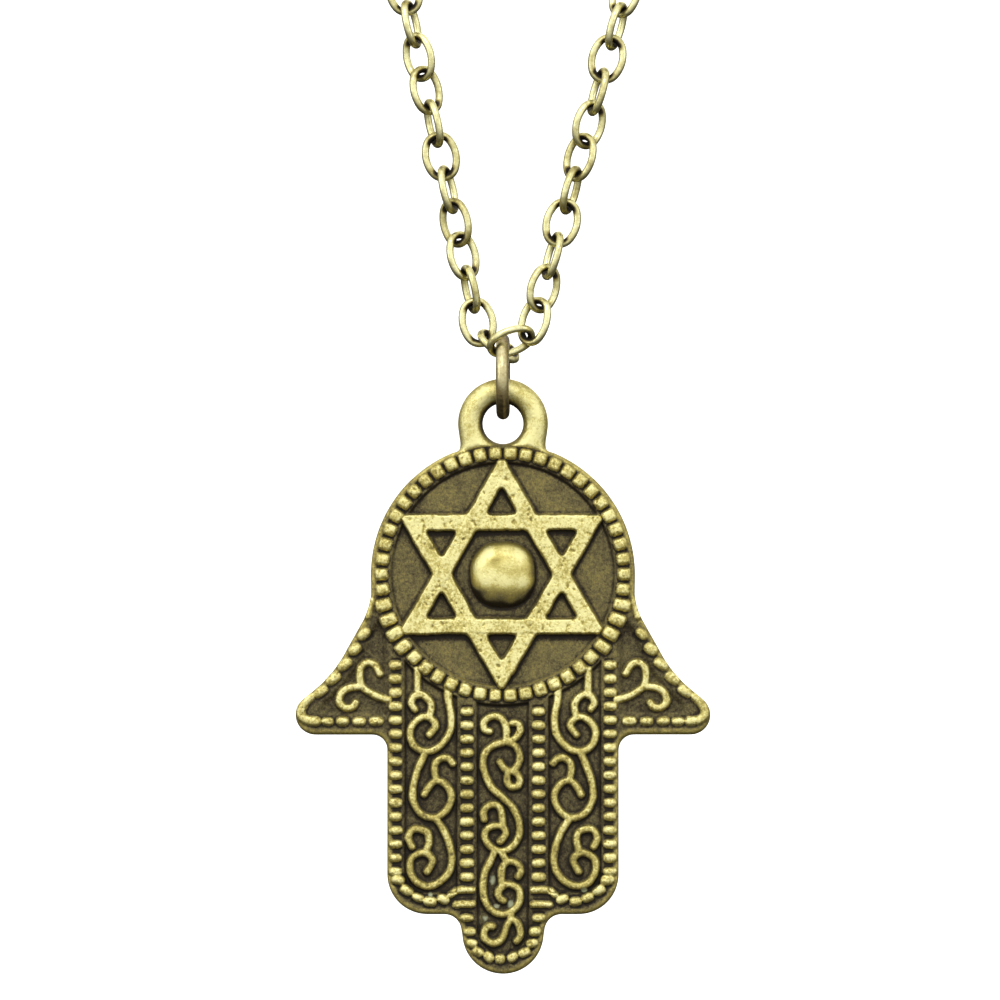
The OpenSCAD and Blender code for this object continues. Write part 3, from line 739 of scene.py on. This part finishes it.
def brass(name, tones, pit_scale, bump, gloss, mottled):
    """Antique plated metal: bright where it is worn and where light is painted, dark where the plating
    stays and where shade is painted, with grain and pits.

    The four tones run from the dark plating to the worn metal. Gloss is the roughness of what is worn.
    """
    dark_rgb, mid_rgb, warm_rgb, bright_rgb = tones
    material, tree = node_tree(name)
    n = Nodes(tree)
    where = n.new("ShaderNodeTexCoord").outputs["Object"]
    wear_light_and_shade, patina_shade_in = n.attribute("wear_light_and_shade"), n.attribute("patina_and_shade")
    cloud = n.noise(where, 700, 3)
    mottle = n.noise(where, pit_scale, 4, 0.65)
    speckle = n.noise(where, pit_scale * 4, 2, 0.6)
    loud = n.spread(wear_light_and_shade, 0.3, 0.8, 0.35 * mottled, mottled)
    loud = n.math("MULTIPLY", loud, n.spread(n.attribute("calm"), 0.0, 1.0, 1.0, 0.0))
    change = n.math("ADD", n.spread(mottle, 0.3, 0.7, -0.3, 0.3), n.spread(cloud, 0.3, 0.7, -0.14, 0.14))
    level = n.math("ADD", wear_light_and_shade, n.math("MULTIPLY", change, loud))
    level = n.math("ADD", level, n.spread(speckle, 0.3, 0.7, -0.08, 0.08))
    level = n.math("SUBTRACT", level, n.math("MULTIPLY", patina_shade_in, 0.42), True)
    colour = n.ramp(level, [(0.0, DEEPEST_RGB), (0.14, DEEP_RGB), (0.3, dark_rgb),
                            (0.5, mid_rgb), (0.76, warm_rgb), (1.0, bright_rgb)])
    shader = n.new("ShaderNodeBsdfPrincipled")
    n.put(shader.inputs["Base Color"], colour)
    n.put(shader.inputs["Metallic"], n.spread(level, 0.25, 0.6, 0.5, 1.0))
    n.put(shader.inputs["Roughness"], n.spread(level, 0.2, 0.9, 0.62, gloss))
    pits = n.new("ShaderNodeTexVoronoi", Vector=where, Scale=pit_scale * 0.7)
    dip = n.spread(pits.outputs["Distance"], 0.0, 0.35)
    relief_in = n.math("ADD", n.math("MULTIPLY", dip, 0.6), n.math("MULTIPLY", speckle, 0.5))
    bump_node = n.new("ShaderNodeBump", Height=relief_in, Strength=bump, Distance=0.00004)
    n.put(shader.inputs["Normal"], bump_node.outputs["Normal"])
    out = n.new("ShaderNodeOutputMaterial")
    n.put(out.inputs["Surface"], shader.outputs["BSDF"])
    return material, n, shader, colour


cast_tones = ((0.175, 0.145, 0.058), (0.38, 0.31, 0.09), (0.66, 0.57, 0.19), (0.95, 0.88, 0.42))
link_tones = ((0.13, 0.10, 0.035), (0.40, 0.33, 0.11), (0.7, 0.64, 0.3), (1.0, 0.95, 0.53))
wire_tones = ((0.12, 0.09, 0.035), (0.36, 0.28, 0.12), (0.66, 0.58, 0.31), (1.0, 0.92, 0.56))
SPECK_RGBA = (0.42, 0.44, 0.28, 1)
pendant_metal, n, shader, colour = brass("pendant_metal", cast_tones, 5000, 0.8, 0.44, 1.0)
n.put(shader.inputs["Base Color"], n.mix(n.attribute("green"), colour, SPECK_RGBA))
chain_metal = brass("chain_metal", link_tones, 900, 0.2, 0.25, 0.5)[0]
ring_metal = brass("ring_metal", wire_tones, 900, 0.1, 0.26, 0.25)[0]

# Pieces
verts = np.column_stack([EYE_X + px, -heights, EYE_Z + pz])
pendant = object_from("cast_pendant", verts, faces,
                      [("wear_light_and_shade", worn_light_and_shade), ("patina_and_shade", dark), ("green", green), ("calm", calm)], pendant_metal)
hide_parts("pendant")
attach(pendant, "drop")


def oval_line(long, wide, rod, steps):
    """Centre line of an oval link, long along Y, in even steps, with its outward normals."""
    a, b = (long - rod) / 2, (wide - rod) / 2
    end_r = 0.86 * b
    side_r = (b * b + (a - end_r) ** 2 - end_r ** 2) / (2 * (b - end_r))
    meet = math.degrees(math.atan2(a - end_r, side_r - b))
    line = arc((0, a - end_r), end_r, meet, 180 - meet, 40)[:-1]
    line += arc((side_r - b, 0), side_r, 180 - meet, 180 + meet, 40)[:-1]
    line += arc((0, end_r - a), end_r, 180 + meet, 360 - meet, 40)[:-1]
    line += arc((b - side_r, 0), side_r, -meet, meet, 40)[:-1]
    line = even_line(np.array(line), 2 * math.pi * (a + b) / 2 / steps, 0)
    return line, -inward(line)


def tube(line, normal, radius, sections):
    """Rings of vertices round a closed line in the XY plane, and how far out each is, from -1 to 1."""
    turn = 2 * math.pi * np.arange(sections) / sections
    c, s = np.cos(turn), np.sin(turn)
    radius = np.broadcast_to(radius, len(line))[:, None]
    x = line[:, :1] + normal[:, :1] * c * radius
    y = line[:, 1:] + normal[:, 1:] * c * radius
    return np.stack([x, y, s * radius], axis=-1).reshape(-1, 3), np.tile(c, len(line))


def tube_faces(steps, sections, first=0):
    """Quads between a tube's rings, the last ring and the first too."""
    i, j = np.meshgrid(np.arange(steps), np.arange(sections), indexing="ij")
    i2, j2 = (i + 1) % steps, (j + 1) % sections
    quad = np.stack([i * sections + j, i * sections + j2, i2 * sections + j2, i2 * sections + j], axis=-1)
    return quad.reshape(-1, 4) + first


def turned(axis, deg):
    """Matrix of a turn about an axis: 0 for X, 1 for Y and 2 for Z."""
    matrix = np.eye(3)
    i, j = (axis + 1) % 3, (axis + 2) % 3
    matrix[i, i] = matrix[j, j] = math.cos(math.radians(deg))
    matrix[j, i] = math.sin(math.radians(deg))
    matrix[i, j] = -matrix[j, i]
    return matrix


X, Y, Z = range(3)


# The chain's path, as in the part's source. Sides are -1 for the left strand and 1 for the right one
LINK_L, LINK_W, WIRE = 3.7, 2.75, 0.55
FIRST, LINKS, LINK_PITCH, TWIST = 8.65, 88, 2.48, 72
CLASP_L, CLASP_W, CLASP_ROD = 9.0, 5.2, 1.2
CLASP_SLACK, FOOT_BELOW_JUMP = 0.6, 4.4
LEAN = {-1: 12.5, 1: 15.5}
DEPTH = {-1: 1.41, 1: -1.65}
ROLL = {-1: 0, 1: -36}
# The end links in the jump ring: place from the ring's middle, and turns about Y, X and the link's own Z
END = {-1: ((-0.36, 1.56, 2.31), -58.5, 21.5, 64), 1: ((0.61, -1.33, 2.51), 71, -8, 48)}
half_path = (FIRST + (LINKS - 1) * LINK_PITCH + (LINK_L - WIRE) / 2 + (CLASP_L - CLASP_ROD) / 2
             - (WIRE + CLASP_ROD) / 2 - CLASP_SLACK)
spread = math.radians((LEAN[-1] + LEAN[1]) / 2)
loop_lean = (LEAN[1] - LEAN[-1]) / 2
straight = half_path / (1 + math.tan(spread) * (math.pi / 2 + spread))
arc_r = straight * math.tan(spread)
up = np.array([math.sin(math.radians(loop_lean)), math.cos(math.radians(loop_lean))])
foot = np.array([JUMP[0], JUMP[2] - FOOT_BELOW_JUMP])
arc_c = foot + straight / math.cos(spread) * up


def on_strand(s, side):
    """Place and lean at a distance along a strand."""
    lean = side * (LEAN[side] - max(0, s - straight) / arc_r * 180 / math.pi)
    if s < straight:
        a = math.radians(LEAN[side])
        xz = foot + s * np.array([side * math.sin(a), math.cos(a)])
    else:
        a = math.radians(lean)
        xz = arc_c + arc_r * side * np.array([math.cos(a), -math.sin(a)])
    return np.array([xz[0], DEPTH[side] * (1 - s / half_path), xz[1]]), lean


# One link: the wire is a little thicker at its ends, and dark with patina and painted shade where it bears
# on the next link
LINK_STEPS, LINK_SECTIONS = 60, 14
link_line, link_normal = oval_line(LINK_L, LINK_W, WIRE, LINK_STEPS)
along_link = abs(link_line[:, 1])
link_radius = WIRE / 2 * (1.0 + 0.02 * ramp(along_link, 0.35, 0.9))
link_verts, link_out = tube(link_line, link_normal, link_radius, LINK_SECTIONS)
link_end = np.repeat(ramp(along_link, 0.75, 1.35), LINK_SECTIONS)
# Painted shade, with patina, on the inside of the link's ends where the next link bears
contact_shade = link_end * ramp(-link_out, -0.35, 0.65)
link_turn = 2 * math.pi * np.arange(len(link_line)) / len(link_line)
LINK_TONE = {-1: 0.86, 1: 0.91}
chain_rng = np.random.default_rng(21)


def strand(side, name, node):
    """One strand as a piece: its end link in the jump ring and the links of its path."""
    place, turn, tilt, roll = END[side]
    poses = [(np.array([JUMP[0], 0, JUMP[2]]) + place, turned(Y, turn) @ turned(X, tilt) @ turned(Z, roll))]
    for i in range(LINKS):
        at, lean = on_strand(FIRST + i * LINK_PITCH, side)
        poses.append((at, turned(Y, lean) @ turned(Z, ROLL[side] + side * i * TWIST)))
    verts, faces, wear_light_and_shade, dark = [], [], [], []
    for i, (at, turn) in enumerate(poses):
        verts.append(link_verts @ (turn @ turned(X, 90)).T + at)
        faces.append(tube_faces(len(link_line), LINK_SECTIONS, i * len(link_verts)))
        tone = LINK_TONE[side] + 0.06 * chain_rng.standard_normal()
        phase = chain_rng.uniform(0, 2 * math.pi, 2)[0]
        wave = np.repeat(0.05 * np.sin(3 * link_turn + phase), LINK_SECTIONS)
        wear_light_and_shade.append(np.clip(tone + wave - 0.75 * contact_shade - 0.12 * link_end, 0, 1))
        dark.append(0.65 * contact_shade)
    obj = object_from(name, np.vstack(verts), faces,
                      [("wear_light_and_shade", np.concatenate(wear_light_and_shade)), ("patina_and_shade", np.concatenate(dark))], chain_metal)
    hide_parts(node)
    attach(obj, "necklace")


strand(-1, "links_left", "chain_left")
strand(1, "links_right", "chain_right")

# Jump ring: round wire bent to a circle. Painted shade makes its top brown and its inside, its right side
# and its low part darker, and a painted highlight runs down the low part as a light stripe
JUMP_R, JUMP_WIRE, RING_SECTIONS = 2.65, 0.95, 32
ring_line = np.array(arc((0, 0), JUMP_R, 0, 357, 119))
ring_verts, ring_out = tube(ring_line, ring_line / JUMP_R, JUMP_WIRE / 2, RING_SECTIONS)
ring_verts = ring_verts @ turned(Y, 90).T + np.array([JUMP[0], 0, JUMP[2]])
ring_x, ring_z = ring_verts[:, 0] - JUMP[0], (ring_verts[:, 2] - JUMP[2]) / JUMP_R
low_part = ramp(-ring_z, 0.1, 0.9)
ring_wear_and_shade = 0.77 - 0.45 * ramp(-ring_out, 0.2, 0.9) - 0.42 * low_part
ring_wear_and_shade -= 0.3 * ramp(ring_z, 0.75, 1.1) + 0.22 * ramp(ring_x, 0.05, 0.4) * ramp(ring_z, -0.3, 0.1)
ring_wear_and_shade += 0.25 * (1 - ramp(abs(ring_x - 0.16), 0.04, 0.16)) * low_part
ring = object_from("wire_jump_ring", ring_verts, [tube_faces(len(ring_line), RING_SECTIONS)],
                   [("wear_light_and_shade", np.clip(ring_wear_and_shade, 0, 1)), ("patina_and_shade", 0.5 * low_part)], ring_metal)
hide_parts("jump_ring")
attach(ring, "ring")

# Clasp: a plain oval ring at the top of the loop, thinner along its sides
CLASP_STEPS, CLASP_SECTIONS, CLASP_DROP = 96, 24, 0.1
clasp_line, clasp_normal = oval_line(CLASP_L, CLASP_W, CLASP_ROD, CLASP_STEPS)
along_clasp = abs(clasp_line[:, 1])
clasp_radius = CLASP_ROD / 2 * (0.95 + 0.05 * ramp(along_clasp, 0.8, 2.2))
clasp_verts, clasp_out = tube(clasp_line, clasp_normal, clasp_radius, CLASP_SECTIONS)
clasp_roll = 90 + (ROLL[-1] - ROLL[1]) / 2 - (LINKS - 1) * TWIST
clasp_turn = turned(Y, 90 + loop_lean) @ turned(Z, clasp_roll) @ turned(X, 90)
clasp_at = arc_c + (arc_r - CLASP_DROP) * up
clasp_verts = clasp_verts @ clasp_turn.T + np.array([clasp_at[0], 0, clasp_at[1]])
# Painted shade, with patina, on the clasp's inside, most where the end links bear
clasp_inner = ramp(-clasp_out, -0.2, 0.7)
clasp_contact_shade = clasp_inner * np.repeat(ramp(along_clasp, 2.2, 3.6), CLASP_SECTIONS)
clasp = object_from("clasp_ring", clasp_verts, [tube_faces(len(clasp_line), CLASP_SECTIONS)],
                    [("wear_light_and_shade", np.clip(0.8 - 0.6 * clasp_contact_shade - 0.25 * clasp_inner, 0, 1)),
                     ("patina_and_shade", 0.6 * clasp_contact_shade)], ring_metal)
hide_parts("clasp")
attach(clasp, "necklace")


# Stage and light
def plain(name, rgb, glow):
    """Pale paper that glows a little, with a faint cloud in its tone."""
    material, tree = node_tree(name)
    n = Nodes(tree)
    diffuse = n.new("ShaderNodeBsdfPrincipled", Roughness=0.9)
    cloud = n.noise(n.new("ShaderNodeTexCoord").outputs["Object"], 6, 2)
    n.put(diffuse.inputs["Base Color"], n.mix(cloud, (*rgb, 1), (*[0.985 * c for c in rgb], 1)))
    diffuse.inputs["Emission Color"].default_value = (1, 1, 1, 1)
    diffuse.inputs["Emission Strength"].default_value = glow
    out = n.new("ShaderNodeOutputMaterial")
    n.put(out.inputs["Surface"], diffuse.outputs["BSDF"])
    return material


# The floor runs out flat to the wall, which curves up and closes overhead. Its sizes are in metres
FLOOR_Z = (EYE_Z - 40) * MM - 0.06
ROOM, SMALLEST = 5.0, 0.02
rings, around = 24, 64
room_verts = [(0, 0, FLOOR_Z / MM)]
for i in range(1, 2 * rings + 1):
    rise = math.pi / 2 * max(0, i - rings) / rings
    out = max(ROOM * min(i / rings, 1) * math.cos(rise), SMALLEST)
    for k in range(around):
        a = 2 * math.pi * k / around
        place = out * math.cos(a), out * math.sin(a), FLOOR_Z + ROOM * math.sin(rise)
        room_verts.append([v / MM for v in place])
fan = np.array([[0, 1 + k, 1 + (k + 1) % around] for k in range(around)])
walls = np.array([[1 + i * around + k, 1 + (i + 1) * around + k,
                   1 + (i + 1) * around + (k + 1) % around, 1 + i * around + (k + 1) % around]
                  for i in range(2 * rings - 1) for k in range(around)])
paper = plain("studio_paper", (0.9, 0.9, 0.89), 0.8)
room = object_from("studio_room", room_verts, [fan, walls], (), paper)
room.visible_glossy = room.visible_diffuse = room.visible_shadow = False

# Soft light comes from before and above, and the far side and the ground stay dim
world = bpy.data.worlds.new("studio")
bpy.context.scene.world = world
world.use_nodes = True
sky = Nodes(world.node_tree)
world.node_tree.nodes.clear()
facing = world.node_tree.nodes.new("ShaderNodeVectorMath")
facing.operation = "DOT_PRODUCT"
sky.put(facing.inputs[0], sky.new("ShaderNodeTexCoord").outputs["Generated"])
facing.inputs[1].default_value = (0.0, -0.55, 0.835)
sky_tones = [(0.0, (0.04, 0.04, 0.03)), (0.22, (0.08, 0.08, 0.06)), (0.4, (0.24, 0.23, 0.21)),
             (0.5, (0.5, 0.5, 0.48)), (0.66, (0.9, 0.9, 0.88)), (0.8, (1.1, 1.1, 1.08)),
             (1.0, (1.2, 1.2, 1.2))]
tent = sky.ramp(sky.spread(facing.outputs["Value"], -1.0, 1.0), sky_tones)
background = sky.new("ShaderNodeBackground", Color=tent, Strength=0.95)
sky.put(sky.new("ShaderNodeOutputWorld").inputs["Surface"], background.outputs["Background"])


def softbox(name, at, wide, tall, power):
    """A rectangular light, at a place in metres from what the camera looks at."""
    data = bpy.data.lights.new(name, "AREA")
    data.energy = power
    data.shape = "RECTANGLE"
    data.size, data.size_y = wide, tall
    lamp = bpy.data.objects.new(name, data)
    bpy.context.scene.collection.objects.link(lamp)
    target = Vector(AIM) * MM
    lamp.location = target + Vector(at)
    lamp.rotation_mode = "QUATERNION"
    lamp.rotation_quaternion = (target - lamp.location).to_track_quat("-Z", "Y")


softbox("softbox_above", (-0.15, -0.8, 0.7), 0.6, 0.35, 1.6)
softbox("softbox_left", (-0.8, -0.45, 0.2), 0.3, 0.6, 0.7)
softbox("softbox_right", (0.85, -0.45, 0.15), 0.3, 0.6, 0.5)
softbox("softbox_behind", (0.1, 0.9, 0.35), 0.7, 0.7, 2.0)

bpy.context.scene.view_settings.view_transform = "Standard"
